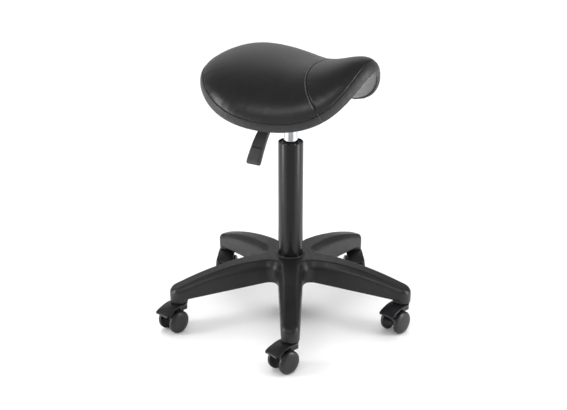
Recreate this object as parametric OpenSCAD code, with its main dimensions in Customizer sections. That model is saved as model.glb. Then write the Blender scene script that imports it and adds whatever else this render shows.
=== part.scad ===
// Adjustable swivel stool: saddle seat, gas column, five-arm base on twin-wheel casters.
// Millimetres. The origin is on the floor on the column axis, +Z is up and the seat faces -Y.

/* [Base] */
// Number of arms and casters
arm_count = 5; // [5:1:5]
// Radius of the circle on which the caster stems stand
stem_circle_r = 250; // [240:1:260]
// Direction of the first arm, from +X
first_arm_deg = 210; // [200:1:220]
// Height of the underside of an arm end
tip_z = 64; // [63.5:0.5:66]
// Height of the flat top of the hub
hub_top = 140.5; // [138:0.5:143]
// Fall of an arm's top from the hub to its end
arm_fall = 48; // [42:1:50]
// Half width of an arm at its end
arm_end_hw = 19.5; // [19:0.5:21]
// Half width of an arm where it leaves the hub
arm_root_hw = 26.5; // [25:0.5:28]
// Wall thickness of the moulded base
base_wall = 4; // [3:0.5:5]

/* [Column] */
// Outer diameter of the stand tube
tube_d = 53; // [50:1:54]
// Height of the top rim of the stand tube
tube_top = 398; // [390:1:402]
// Diameter of the gas cylinder
cyl_d = 30; // [28:0.5:30.5]
// Diameter of the piston rod
rod_d = 10; // [9:0.5:11]
// Stroke of the gas spring
stroke = 200; // [150:5:200]
// Radial clearance of parts that slide or turn
fit = 0.05; // [0.03:0.01:0.08]

/* [Casters] */
// Wheel diameter
wheel_d = 50; // [48:1:50]
// Distance from the swivel axis to the axle
trail = 18; // [17:0.5:20]
// Distance between the outer faces of a wheel pair
wheel_span = 49.4; // [48:0.2:50]
// Distance between the inner faces of a wheel pair
wheel_gap = 27.6; // [27:0.2:28]
// Diameter of the caster stem
stem_d = 11; // [10:0.5:11]
// Directions in which the casters trail, one for each arm
trail_deg = [161, 166, 217, 203, 166];

/* [Seat] */
// Half length of the seat outline
seat_hl = 175; // [170:1:180]
// Half width factor of the seat outline
seat_hw = 166; // [160:1:170]
// Distance of the outline's middle in front of the column axis
seat_mid = 5.5; // [4:0.5:7]
// Height of the seam surface over the column
seam_z = 511; // [508:1:514]
// Thickness of the cushion at its middle, above the seam surface
crown = 64.5; // [60:0.5:68]
// Height of the side band
band_h = 19; // [18:0.5:21]
// Thickness of the moulded seat shell
shell_t = 10; // [9:0.5:11]
// Thickness of the vinyl cover
cover_t = 1.5; // [1.2:0.1:1.8]

/* [Lever] */
// Diameter of the lever rod
lever_d = 7; // [6:0.5:7]
// Width of the paddle at its free end
paddle_w = 32; // [28:1:34]

/* [Hidden] */
$fn = 64;
caster_count = arm_count;
arm_step = 360 / arm_count;

// Base: heights and hub
hub_r = 47;
hub_ring_r = 30;
hub_ring_top = 143;
hub_low = 88;
socket_low = 84;
flat_r = 75;
arm_start_r = 44;
void_start_r = 40;
void_low = 30;
arm_slope = 0.1;
arm_tip_low = 73;
arm_tip_r = stem_circle_r - 17;
fillet_r = 25;
corner_lap = 3.2;
stem_socket_r = 13;
stem_top = 92;
stem_low = 46;
stem_collar_r = 10;
rib_t = 2.5;

// Column: the tube's lower end is a slow taper that wedges in the hub
tube_r = tube_d / 2;
tube_wall = 2;
taper_drop = 1.4;
floor_z = 89;
floor_t = 3;
race_t = 2;
ball_r = 1.6;
pin_r = 4;
race_r = 12;
bush_low = 322;
bush_top = 395;
cyl_r = cyl_d / 2;
cyl_wall = 2.5;
cyl_low = bush_low + 6 - stroke;
gland_top = 148;
chamber_top = 420;
taper_low = 438;
cyl_top = 468;
taper_top_r = cyl_r - 0.9;
rod_shoulder = floor_z + 2 * race_t + 2 * ball_r + 0.1;
piston_z = 358;
piston_h = 14;
valve_r = 3;
valve_low = 430;
valve_top = 470.7;
valve_travel = 2.9;

// Casters
wheel_r = wheel_d / 2;
axle_r = 4;
wheel_w = (wheel_span - wheel_gap) / 2;
hub_wheel_r = 8;
web_hw = 6;
hood_hw = 19;
hood_t = 2.5;
neck_r = 16.5;
neck_low = 44;
neck_top = 62;
neck_hw = 12.8;
hood_arc_r = 36;
hood_lip = 34;

// Seat: numbers of steps of the curved solids
ring_n = 60;
dome_n = 12;
seam_c0 = 84;
seam_c2 = 97;
panel_gap = 0.4;
seam_limit = 0.94;
panel_steps = 24;
strip_n = 6;
band_lean = 3.6;
shell_inset = band_lean + cover_t + 0.9;
hem_w = 6;
hem_gap = 0.6;
seam_gap = 0.4;
foam_gap = 2;
seam_relief = 7;
plate_top = 484;
plate_t = 3;
bolt_x = 45;
bolt_y = 50;
bolt_r = 4;
box_x = 36;
box_y = 30;
box_low = 458;
box_wall = 2.5;
socket_r = 20;

// Lever: pivot, bend of the rod and run of the paddle
pivot_x = -26;
pivot_z = valve_top + 0.3 + lever_d / 2;
pivot_r = 2;
rod_bend = [-38, pivot_z];
rod_end = [-104, pivot_z - 19];
rod_start = 2;
rod_bend_run = 7;
paddle = [[-90, 461], [-118, 453], [-150, 396]];

// ---------------------------------------------------------------- helpers

function sum(v, i = 0) = i >= len(v) ? [0, 0, 0] : v[i] + sum(v, i + 1);
function centre(ring) = sum(ring) / len(ring);
function lerp(a, b, t) = a + (b - a) * t;

// A closed solid through rings of points, with a fan over each end, or joined end to end.
// Each ring runs clockwise as seen from the last ring's side.
module loft(rings, closed = false) {
    n = len(rings[0]);
    m = len(rings);
    spans = closed ? m : m - 1;
    points = concat([for (ring = rings) for (p = ring) p], [centre(rings[0]), centre(rings[m - 1])]);
    sides = [for (i = [0:spans - 1]) for (j = [0:n - 1])
        let (a = i * n + j, b = i * n + (j + 1) % n)
        let (c = ((i + 1) % m) * n + j, d = ((i + 1) % m) * n + (j + 1) % n)
        for (f = [[a, b, d], [a, d, c]]) f];
    caps = closed ? [] : [for (j = [0:n - 1]) for (f = [
        [m * n, (j + 1) % n, j], [m * n + 1, (m - 1) * n + j, (m - 1) * n + (j + 1) % n]]) f];
    polyhedron(closed ? [for (ring = rings) for (p = ring) p] : points, concat(sides, caps));
}

module tube(r_out, r_in, low, high) {
    translate([0, 0, low])
        difference() {
            cylinder(h = high - low, r = r_out);
            translate([0, 0, -1]) cylinder(h = high - low + 2, r = r_in);
        }
}

module rod(r, low, high) {
    translate([0, 0, low]) cylinder(h = high - low, r = r);
}

module at_arm(i) {
    rotate([0, 0, first_arm_deg + i * arm_step]) translate([stem_circle_r, 0, 0]) children();
}

// The frame of caster i: stem on the origin, +X along the trail
module at_caster(i) {
    at_arm(i) rotate([0, 0, trail_deg[i] - first_arm_deg - i * arm_step]) children();
}

// ---------------------------------------------------------------- base

function arm_top(r) = hub_top - arm_fall * pow(max(r - flat_r, 0) / (stem_circle_r + 20 - flat_r), 1.72);
function arm_low(r) = arm_tip_low + max(arm_tip_r - r, 0) * arm_slope;
function arm_hw(r) = lerp(arm_root_hw, arm_end_hw, max(r - 63, 0) / (stem_circle_r - 63));
function ridge_hw(r) = 12.5 + 6 * pow(max(180 - r, 0) / 105, 2);
function shoulder(r) = lerp(14, 8.5, min(max(r - 99, 0) / 111, 1));

// Half of an arm's section at radius r, from the bottom edge up to the ridge
function half_section(r, inset) =
    let (w = arm_hw(r) - inset, top = arm_top(r) - inset, s = shoulder(r), k = min(ridge_hw(r), w - 3))
    concat([[w, arm_low(r)]], [for (a = [0:30:90]) [lerp(k, w - 1, cos(a)), top - s + s * sin(a)]]);

// The whole section, moved forward by the round of the arm end
function arm_ring(r, turn, inset) =
    let (half = half_section(r, inset), n = len(half), x = r + (arm_end_hw - inset) * sin(turn))
    let (roll = 6 * (1 - cos(turn)))
    [for (i = [0:2 * n - 1]) let (p = i < n ? half[i] : half[2 * n - 1 - i], side = i < n ? -1 : 1)
        [x, side * p[0] * cos(turn), i == 0 || i == 2 * n - 1 ? p[1] : p[1] - roll]];

function arm_stations(inset) = concat(
    [for (r = [arm_start_r, 63, 90, 120, 150, 180, 210, 235]) arm_ring(r, 0, inset)],
    [for (turn = [0:20:80]) arm_ring(stem_circle_r, turn, inset)]);

// The hollow under an arm, open at the bottom
module arm_void() {
    loft([for (r = [void_start_r, 63, 90, 120, 150, 180, 210, stem_circle_r - stem_socket_r])
        [for (p = arm_ring(r, 0, base_wall)) [p[0], p[1], p[2] < arm_low(r) + 1 ? void_low : p[2]]]]);
}

// The corner between two arms, filled to a round
module hub_corner(low, high) {
    half = arm_step / 2;
    far = (arm_root_hw + fillet_r) / sin(half) - corner_lap;
    side = far * cos(half);
    sweep = 90 - half;
    translate([0, 0, low]) linear_extrude(height = high - low)
        polygon(concat([[0, 0], side * [cos(half), -sin(half)]],
            [for (a = [-sweep:12:sweep]) [far - fillet_r * cos(a), fillet_r * sin(a)]],
            [side * [cos(half), sin(half)]]));
}

module arm_ribs() {
    for (r = [110, 150, 190]) let (low = arm_low(r) + 2, high = arm_top(r) - base_wall + 1.5)
        translate([r, 0, (low + high) / 2])
            cube([rib_t, 2 * (arm_hw(r) - base_wall) + 1, high - low], center = true);
}

module each_arm(shift = 0) {
    for (i = [0:arm_count - 1]) rotate([0, 0, first_arm_deg + (i + shift) * arm_step]) children();
}

module star_base() {
    color("#1d1d1f") difference() {
        union() {
            difference() {
                union() {
                    each_arm() loft(arm_stations(0));
                    each_arm(0.5) hub_corner(hub_low + 2.3, hub_top - 13.3);
                    rod(hub_r, hub_low - 0.5, hub_top - 0.4);
                }
                each_arm() arm_void();
                tube(hub_r - base_wall, hub_ring_r, void_low, hub_top - 12);
            }
            each_arm() arm_ribs();
            each_arm() translate([stem_circle_r, 0, 0]) rod(stem_socket_r, tip_z + 1, stem_top + 3);
            each_arm() translate([stem_circle_r, 0, 0]) rod(arm_end_hw - 0.5, tip_z, tip_z + 16);
            rod(hub_ring_r, socket_low, hub_ring_top);
        }
        translate([0, 0, socket_low])
                cylinder(h = hub_ring_top - socket_low, r1 = tube_r - taper_drop, r2 = tube_r);
        each_arm() translate([stem_circle_r, 0, 0]) rod(stem_d / 2, tip_z - 10, stem_top);
    }
}

// ---------------------------------------------------------------- column, fixed part

module outer_tube() {
    color("#17171a") difference() {
        union() {
            rod(tube_r, hub_ring_top - 0.01, tube_top);
            translate([0, 0, socket_low])
                cylinder(h = hub_ring_top - socket_low, r1 = tube_r - taper_drop, r2 = tube_r);
        }
        rod(tube_r - taper_drop - tube_wall, socket_low - 1, hub_ring_top);
        rod(tube_r - tube_wall, hub_ring_top - 0.01, tube_top + 1);
    }
}

module tube_end_plate() {
    color("#3a3a3c") tube(tube_r - taper_drop - tube_wall, pin_r + fit, floor_z - floor_t, floor_z);
}

module guide_bush() {
    color("#2b2b2d") union() {
        tube(tube_r - tube_wall, cyl_r + fit, bush_top - 12, bush_top);
        tube(cyl_r + 3, cyl_r + fit, bush_low, bush_top - 11);
        tube(tube_r - tube_wall, cyl_r + fit, bush_low, bush_low + 10);
    }
}

module lower_race() {
    color("silver") tube(race_r, pin_r + fit, floor_z, floor_z + race_t);
}

module bearing_balls() {
    ring = (race_r + pin_r) / 2;
    color("gainsboro") for (a = [0:36:324])
        rotate([0, 0, a]) translate([ring, 0, floor_z + race_t + ball_r + 0.05]) sphere(r = ball_r, $fn = 24);
}

// ---------------------------------------------------------------- column, piston rod

module piston_rod() {
    color("lightgray") union() {
        rod(pin_r, floor_z - floor_t - 4, rod_shoulder + 1);
        rod(rod_d / 2, rod_shoulder, piston_z + piston_h);
    }
}

module upper_race() {
    color("silver") tube(race_r, pin_r, rod_shoulder - race_t, rod_shoulder);
}

module rod_clip() {
    color("dimgray") difference() {
        tube(7, pin_r - 0.4, floor_z - floor_t - 1.8, floor_z - floor_t - 0.3);
        translate([0, -2, floor_z - floor_t - 3]) cube([10, 4, 5]);
        rod(pin_r, floor_z - floor_t - 3, floor_z);
    }
}

module stop_buffer() {
    color("#111113") tube(11, rod_d / 2, rod_shoulder, cyl_low - 6);
}

module piston() {
    color("goldenrod") difference() {
        tube(cyl_r - cyl_wall - 2 * fit, rod_d / 2, piston_z, piston_z + piston_h);
        tube(cyl_r, cyl_r - cyl_wall - 2, piston_z + 5, piston_z + 9);
    }
}

module piston_seal() {
    color("#202022") tube(cyl_r - cyl_wall - fit, cyl_r - cyl_wall - 2, piston_z + 5, piston_z + 9);
}

// ---------------------------------------------------------------- column, gas cylinder

module gas_cylinder() {
    color("#d5d8dc") difference() {
        union() {
            rod(cyl_r, cyl_low, taper_low);
            translate([0, 0, taper_low]) cylinder(h = cyl_top - taper_low, r1 = cyl_r, r2 = taper_top_r);
        }
        rod(cyl_r - cyl_wall, cyl_low - 1, cyl_top - 8);
        rod(valve_r + fit, chamber_top, cyl_top + 1);
    }
}

module cylinder_gland() {
    color("#303033") tube(cyl_r - cyl_wall, rod_d / 2 + fit, cyl_low, gland_top);
}

module valve_body() {
    color("darkgoldenrod") difference() {
        tube(cyl_r - cyl_wall, valve_r + fit, chamber_top, cyl_top - 8);
        rod(valve_r + 3, chamber_top - 1, valve_low - valve_travel - 1);
    }
}

module valve_pin() {
    color("whitesmoke") rod(valve_r, valve_low, valve_top);
}

// ---------------------------------------------------------------- seat surfaces

// Outline of the seat in its own plane: forward distance and side distance at angle a
function seat_u(a, k = 1) = seat_mid + seat_hl * k * cos(a);
function seat_v(a, k = 1) =
    let (c = cos(a))
    seat_hw * k * sin(a) * (1 - 0.31 * c + 0.17 * c * c + 0.23 * c * c * c);

// Height of the saddle surface through the seam
function saddle(u, v) =
    let (x = (u - seat_mid - 11.5) / seat_hl, e = (u - seat_mid) / seat_hl, w = pow(v / seat_hw, 2))
    seam_z + 40 * pow(max(-x, 0), 1.5) + 100 * pow(max(x, 0), 2.5)
    - w * (1 - 0.4 * w) * (38 + 35 * e + 15 * e * e + 79 * e * e * e);

function saddle_normal(u, v) =
    let (du = saddle(u + 0.5, v) - saddle(u - 0.5, v), dv = saddle(u, v + 0.5) - saddle(u, v - 0.5))
    [-du, -dv, 1] / norm([-du, -dv, 1]);

// Seat coordinates to the part's frame: forward is -Y
function place(p) = [-p[1], -p[0], p[2]];

// The point at angle a and share r of the way to the outline, h above the saddle surface
function seat_point(a, r, h, inset = 0) =
    let (k = 1 - inset / 150, u = seat_mid + (seat_u(a, k) - seat_mid) * r, v = seat_v(a, k) * r)
    place([u, v, saddle(u, v)] + h * saddle_normal(u, v));

function dome_h(a, r, inset) = (crown - inset) * (1 + 0.04 * r * cos(a)) * sqrt(max(1 - pow(r, 2.8), 0));

// A ring of the cushion's top surface
function dome_ring(share, inset, reach) =
    [for (j = [0:ring_n - 1]) let (a = j * 360 / ring_n, r = share * reach[j])
        seat_point(a, r, dome_h(a, r, inset), inset)];

function flat_ring(share, h, inset) =
    [for (j = [0:ring_n - 1]) seat_point(j * 360 / ring_n, share, h, inset)];

// Share of the way to the outline at which the cross seam lies, 1 where it misses the seat
function seam_share(a) =
    let (b = seat_hl * cos(a), q = seam_c2 * pow(seat_v(a) / seat_hw, 2), c = seam_c0 - seat_mid)
    let (d = b * b - 4 * q * c)
    b <= 0 || d < 0 ? 1 : min(q < 0.001 ? c / b : (b - sqrt(d)) / (2 * q), 1);

// ---------------------------------------------------------------- seat pieces

seam_end = max([for (j = [0:ring_n / 4]) let (a = j * 360 / ring_n) seam_share(a) < seam_limit ? a : 0]);
share_steps = [for (i = [1:dome_n]) sin(i * 90 / dome_n)];

// How far the foam lies inside the outline: further at the ends of the cross seam, where the allowances gather
function foam_inset(a) =
    let (side = min(a, 360 - a), step = 360 / ring_n)
    cover_t + foam_gap + (side > seam_end - step / 2 && side < seam_end + 1.5 * step ? seam_relief : 0);

module seat_foam() {
    low = shell_t - band_h + 2.5;
    rings = concat(
        [for (s = [0.08, 0.3, 0.6, 0.85, 1]) flat_ring(s, low, shell_inset)],
        [for (i = [dome_n:-1:1]) [for (j = [0:ring_n - 1])
            let (a = j * 360 / ring_n, inset = foam_inset(a), r = share_steps[i - 1])
            seat_point(a, r, dome_h(a, r, inset), inset)]]);
    color("khaki") loft(rings);
}

module cover_rear() {
    reach = [for (j = [0:ring_n - 1]) let (a = j * 360 / ring_n, share = seam_share(a))
        share < seam_limit ? share - panel_gap / 90 : 1];
    rings = concat(
        [for (i = [1:dome_n]) dome_ring(share_steps[i - 1], cover_t, reach)],
        [for (i = [dome_n:-1:1]) dome_ring(share_steps[i - 1], 0, reach)]);
    color("#202023") loft(rings);
}

// The front panel runs from the cross seam to the outline, one strip for each angle
module cover_front() {
    rings = [for (j = [0:panel_steps]) let (a = lerp(seam_end, -seam_end, j / panel_steps), near = seam_share(a))
        concat(
            [for (i = [0:strip_n]) let (r = sin(lerp(asin(near), 90, i / strip_n)))
                seat_point(a, r, dome_h(a, r, cover_t), cover_t)],
            [for (i = [strip_n:-1:0]) let (r = sin(lerp(asin(near), 90, i / strip_n)))
                seat_point(a, r, dome_h(a, r, 0), 0)])];
    color("#202023") loft(rings);
}

// The band leans inward and its hem turns under the edge of the shell
module side_band() {
    low = -band_h - hem_gap;
    inner = band_lean + cover_t;
    rings = [for (j = [0:ring_n - 1]) let (a = j * 360 / ring_n) [for (p = [
        [-seam_gap, 0], [-0.5 * band_h, 0.3 * band_lean], [low - cover_t, band_lean],
        [low - cover_t, band_lean + hem_w], [low, band_lean + hem_w], [low, inner],
        [-0.5 * band_h, 0.3 * band_lean + cover_t], [-seam_gap, cover_t + 0.3]])
            seat_point(a, 1, p[0], p[1])]];
    color("#1c1c1f") loft(rings, closed = true);
}

// The height of the shell's underside over the point x, y
function shell_under(x, y) = saddle(-y, -x) - band_h;

module seat_shell() {
    inset = shell_inset;
    rings = concat(
        [for (s = [0.08, 0.3, 0.6, 0.85, 1]) flat_ring(s, -band_h, inset)],
        [for (s = [1, 0.85, 0.6, 0.3, 0.08]) flat_ring(s, shell_t - band_h, inset)]);
    color("#2c2c2f") difference() {
        union() {
            loft(rings);
            for (x = [-bolt_x, bolt_x]) for (y = [-bolt_y, bolt_y])
                translate([x, y, 0]) rod(11, plate_top, shell_under(x, y) + 4);
        }
        for (x = [-bolt_x, bolt_x]) for (y = [-bolt_y, bolt_y]) translate([x, y, 0]) {
            rod(bolt_r + 1.2, plate_top - 1, shell_under(x, y) + shell_t + 9);
            rod(9.5, shell_under(x, y) + shell_t - 4, shell_under(x, y) + shell_t + 9);
        }
    }
}

module t_nuts() {
    color("silver") for (x = [-bolt_x, bolt_x]) for (y = [-bolt_y, bolt_y]) translate([x, y, 0]) {
        tube(9, bolt_r, shell_under(x, y) + shell_t - 4, shell_under(x, y) + shell_t - 2.6);
        tube(bolt_r + 1.1, bolt_r, shell_under(x, y) + shell_t - 13, shell_under(x, y) + shell_t - 3.9);
    }
}

module seat_bolts() {
    color("dimgray") for (x = [-bolt_x, bolt_x]) for (y = [-bolt_y, bolt_y]) translate([x, y, 0]) {
        rod(bolt_r, plate_top - plate_t - 2, shell_under(x, y) + shell_t - 4);
        rod(6.5, plate_top - plate_t - 6.8, plate_top - plate_t - 1.6);
    }
}

module bolt_washers() {
    color("silver") for (x = [-bolt_x, bolt_x]) for (y = [-bolt_y, bolt_y]) translate([x, y, 0])
        tube(8, bolt_r, plate_top - plate_t - 1.6, plate_top - plate_t);
}

// Small staples that hold the cover's hem under the edge of the shell
module staples() {
    count = 32;
    inset = band_lean + hem_w - 3;
    low = -band_h - hem_gap - cover_t - 0.75;
    color("silver") for (j = [0:count - 1])
        let (a = (j + 0.5) * 360 / count, p = seat_point(a, 1, low, inset))
        let (q = seat_point(a + 1, 1, low, inset), along = (q - p) / norm(q - p))
        let (up = seat_point(a, 1, low + 1, inset) - p, across = cross(up, along))
        multmatrix([for (k = [0:2]) [along[k], across[k], up[k], p[k]]]) cube([7, 1, 0.9], center = true);
}

module seat_mechanism() {
    color("#262628") difference() {
        union() {
            translate([-bolt_x - 15, -bolt_y - 15, plate_top - plate_t])
                cube([2 * bolt_x + 30, 2 * bolt_y + 30, plate_t]);
            translate([-box_x, -box_y, box_low])
                cube([2 * box_x, 2 * box_y, plate_top - plate_t - box_low + 0.5]);
            rod(socket_r, taper_low, box_low + 1);
        }
        translate([-box_x + box_wall, -box_y + box_wall, box_low + box_wall])
            cube([2 * (box_x - box_wall), 2 * (box_y - box_wall), plate_top - plate_t - box_low - box_wall]);
        translate([0, 0, taper_low]) cylinder(h = cyl_top - taper_low, r1 = cyl_r, r2 = taper_top_r);
        // Slot for the lever, holes for its pin and for the bolts
        translate([-box_x - 1, -lever_d / 2 - 1, pivot_z - lever_d / 2 - 6])
            cube([box_wall + 2, lever_d + 2, 15.5]);
        translate([pivot_x, box_y + 1, pivot_z]) rotate([90, 0, 0]) cylinder(h = 2 * box_y + 2, r = pivot_r);
        for (x = [-bolt_x, bolt_x]) for (y = [-bolt_y, bolt_y])
            translate([x, y, 0]) rod(bolt_r + 0.3, plate_top - plate_t - 1, plate_top + 1);
    }
}

// ---------------------------------------------------------------- lever

module lever_pin() {
    color("silver") translate([pivot_x, box_y + 1.5, pivot_z]) rotate([90, 0, 0])
        cylinder(h = 2 * box_y + 3, r = pivot_r);
}

function bezier(p, t) = p[0] * pow(1 - t, 2) + p[1] * 2 * t * (1 - t) + p[2] * t * t;
function bezier_slope(p, t) = (p[1] - p[0]) * (1 - t) + (p[2] - p[1]) * t;

// A round section of the lever rod, of radius r, at point p of the lever's plane and square to direction d
function rod_ring(p, d, r) =
    let (n = [-d[1], d[0]] / norm(d))
    [for (a = [0:22.5:337.5]) [p[0] + n[0] * r * cos(a), r * sin(a), p[1] + n[1] * r * cos(a)]];

// The rod runs level over the valve pin, then bends down to the paddle
module lever_bar(r, reach) {
    back = (rod_end - rod_bend) / norm(rod_end - rod_bend);
    bend = [rod_bend + [rod_bend_run, 0], rod_bend, rod_bend + rod_bend_run * back];
    loft(concat([rod_ring([rod_start, pivot_z], [-1, 0], r)],
        [for (t = [0:0.25:1]) rod_ring(bezier(bend, t), bezier_slope(bend, t), r)],
        [rod_ring(rod_bend + reach * (rod_end - rod_bend), rod_end - rod_bend, r)]));
}

module lever_rod() {
    color("#3c3c3f") difference() {
        union() {
            lever_bar(lever_d / 2, 1);
            translate([pivot_x, 6, pivot_z]) rotate([90, 0, 0]) cylinder(h = 12, r = 5.5);
        }
        translate([pivot_x, 7, pivot_z]) rotate([90, 0, 0]) cylinder(h = 14, r = pivot_r + fit);
    }
}

// A rounded oblong section of the paddle at share t of its run
function paddle_ring(t) =
    let (p = bezier(paddle, t), slope = bezier_slope(paddle, t), d = slope / norm(slope), n = [-d[1], d[0]])
    let (w = lerp(10, paddle_w / 2, pow(t, 0.8)), h = lerp(7, 4, t), c = 2.5)
    [for (q = [
        [w, c - h], [w - c, -h], [c - w, -h], [-w, c - h], [-w, h - c], [c - w, h], [w - c, h], [w, h - c]])
        [p[0] + n[0] * q[1], q[0], p[1] + n[1] * q[1]]];

module lever_handle() {
    color("#333336") difference() {
        loft([for (t = [0:0.125:1]) paddle_ring(t)]);
        lever_bar(lever_d / 2 + 0.05, 1.01);
    }
}

// ---------------------------------------------------------------- casters

module caster_stem(i) {
    color("silver") at_caster(i) difference() {
        union() {
            rod(stem_d / 2, stem_low, stem_top);
            rod(stem_collar_r, neck_top + 0.2, tip_z);
        }
        tube(stem_d, stem_d / 2 - 0.8, stem_top - 8, stem_top - 5);
    }
}

module grip_rings() {
    color("gray") for (i = [0:caster_count - 1]) at_caster(i)
        tube(stem_d / 2, stem_d / 2 - 0.8, stem_top - 8, stem_top - 5);
}

// Side view of the hood: a plate that arches round the axle and runs out to a lip
function hood_curve(r) = concat(
    [for (a = [112:-8:48]) [trail + r * cos(a), wheel_r + r * sin(a)]],
    [[trail + hood_lip * 0.99 + (r - hood_arc_r) * 0.7, wheel_r + 22.5 + (r - hood_arc_r) * 0.7]]);

module caster_hood(i) {
    color("#1e1e20") at_caster(i) difference() {
        union() {
            rotate([90, 0, 0]) linear_extrude(height = 2 * hood_hw, center = true)
                polygon(concat(
                    hood_curve(hood_arc_r), [for (k = [9:-1:0]) hood_curve(hood_arc_r - hood_t)[k]]));
            intersection() {
                rod(neck_r, neck_low, neck_top);
                translate([-neck_r, -neck_hw, neck_low]) cube([2 * neck_r, 2 * neck_hw, neck_top - neck_low]);
            }
            rod(neck_r, wheel_r + 29, neck_top);
            translate([-6, -web_hw, 20]) cube([trail + 6, 2 * web_hw, hood_arc_r]);
            translate([trail, web_hw, wheel_r]) rotate([90, 0, 0]) cylinder(h = 2 * web_hw, r = 9);
        }
        rod(stem_d / 2 + fit, stem_low - 1, neck_top + 1);
        translate([trail, 30, wheel_r]) rotate([90, 0, 0]) cylinder(h = 60, r = axle_r);
        tube(60, hood_arc_r + 30, 0, 100);
    }
}

module caster_axle(i) {
    color("silver") at_caster(i) translate([trail, wheel_span / 2 - 4, wheel_r])
        rotate([90, 0, 0]) cylinder(h = wheel_span - 8, r = axle_r);
}

// One wheel, turned about its axle; side is 1 or -1
module wheel(i, side) {
    w = wheel_w;
    hub = wheel_gap / 2 - web_hw - 0.3;
    color("#1a1a1c") at_caster(i) translate([trail, side * wheel_gap / 2, wheel_r]) rotate([side * -90, 0, 0])
        rotate_extrude($fn = 72) polygon(concat(
            [[axle_r + fit, -hub], [hub_wheel_r, -hub], [hub_wheel_r, 2],
                [wheel_r - 4, 2], [wheel_r - 3, 0], [wheel_r, 0]],
            [for (a = [0:15:90]) [wheel_r - 4 + 4 * cos(a), w - 5 + 4 * sin(a)]],
            [[12, w - 0.3], [0, w], [0, w - 3.8], [axle_r + fit, w - 3.8]]));
}

// ---------------------------------------------------------------- assembly

star_base();
outer_tube();
guide_bush();
tube_end_plate();
lower_race();
bearing_balls();
piston_rod();
upper_race();
rod_clip();
stop_buffer();
piston();
piston_seal();
gas_cylinder();
cylinder_gland();
valve_body();
valve_pin();
seat_mechanism();
seat_bolts();
bolt_washers();
t_nuts();
seat_shell();
seat_foam();
cover_rear();
cover_front();
side_band();
staples();
lever_pin();
lever_rod();
lever_handle();
grip_rings();
for (i = [0:caster_count - 1]) {
    caster_stem(i);
    caster_hood(i);
    caster_axle(i);
    wheel(i, 1);
    wheel(i, -1);
}
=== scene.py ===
"""The looks of the adjustable swivel stool, in metres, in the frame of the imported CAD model."""
import math

import bmesh
import bpy
import numpy as np
from mathutils import Matrix, Vector


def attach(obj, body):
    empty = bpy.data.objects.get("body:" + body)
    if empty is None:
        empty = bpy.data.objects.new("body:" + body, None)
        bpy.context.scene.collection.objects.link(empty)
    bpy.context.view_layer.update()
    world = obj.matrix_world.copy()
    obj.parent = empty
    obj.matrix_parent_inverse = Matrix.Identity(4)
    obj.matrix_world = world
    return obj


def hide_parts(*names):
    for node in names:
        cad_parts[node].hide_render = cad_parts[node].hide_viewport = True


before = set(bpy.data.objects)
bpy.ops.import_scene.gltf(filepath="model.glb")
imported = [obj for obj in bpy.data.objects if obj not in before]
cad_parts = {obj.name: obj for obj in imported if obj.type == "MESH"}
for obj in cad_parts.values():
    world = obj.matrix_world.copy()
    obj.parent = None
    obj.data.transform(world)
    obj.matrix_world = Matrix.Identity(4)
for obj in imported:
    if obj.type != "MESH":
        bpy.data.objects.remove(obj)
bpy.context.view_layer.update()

# ---------------------------------------------------------------- sizes of the CAD model, in metres

ARM_COUNT = 5
FIRST_ARM = math.radians(210)
ARM_STEP = 2 * math.pi / ARM_COUNT
TRAIL_ANGLES = [math.radians(a) for a in (161, 166, 217, 203, 166)]
STEM_CIRCLE = 0.250
HUB_TOP, ARM_FALL = 0.1405, 0.048
HUB_FLAT, ARM_RUN, ARM_BEND = 0.075, 0.195, 1.72
ARM_END_HALF, ARM_ROOT_HALF = 0.0195, 0.0265
BASE_WALL = 0.004
TIP_Z = 0.064

TUBE_R, TUBE_WALL, TUBE_TOP = 0.0265, 0.002, 0.398
TAPER_DROP, SOCKET_LOW, RING_TOP, RING_R = 0.0014, 0.084, 0.143, 0.030
CYLINDER_R, CYLINDER_LOW, TAPER_LOW, CYLINDER_TOP = 0.015, 0.128, 0.438, 0.468
BUSH_LOW, BUSH_TOP, CYLINDER_WALL = 0.322, 0.395, 0.0025
FIT = 0.00005

WHEEL_R, TRAIL, WHEEL_SPAN, WHEEL_GAP = 0.025, 0.018, 0.0494, 0.0276
AXLE_R, WEB_HALF, NECK_R, NECK_HALF = 0.004, 0.006, 0.0165, 0.0128
NECK_LOW, NECK_TOP, HOOD_HALF, HOOD_T = 0.044, 0.062, 0.019, 0.0024
STEM_R, WHEEL_CAP = 0.0055, 0.0038
HOOD_FALL, HOOD_BEND, HOOD_FLAT = 34.2, 2.32, 0.018

SEAT_HALF_LENGTH, SEAT_HALF_WIDTH, SEAT_MID = 0.175, 0.166, 0.0055
SEAM_Z, CROWN, BAND_H, SHELL_T, COVER_T = 0.511, 0.0645, 0.019, 0.010, 0.0015
BAND_LEAN, HEM_W, HEM_LOW = 0.0036, 0.006, -0.0209
STAPLE_COUNT, STAPLE_W = 32, 0.007
CROSS_SEAM, CROSS_SEAM_SWEEP = 0.084, 0.097
# Shares of the width added along the outline, for the first three powers of the cosine
OUTLINE_SHAPE = (-0.31, 0.17, 0.23)
# The saddle: its lowest place, its rise to the back and the pommel, and how far its sides hang
SADDLE_LOW, CANTLE_RISE, POMMEL_RISE, CANTLE_EASE = 0.0115, 0.040, 0.100, 0.16
SIDE_DROP = (0.038, 0.035, 0.015, 0.079)
DOME_POWER, DOME_LEAN = 2.8, 0.04
BOLT_X, BOLT_Y, PLATE_TOP = 0.045, 0.050, 0.484

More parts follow.
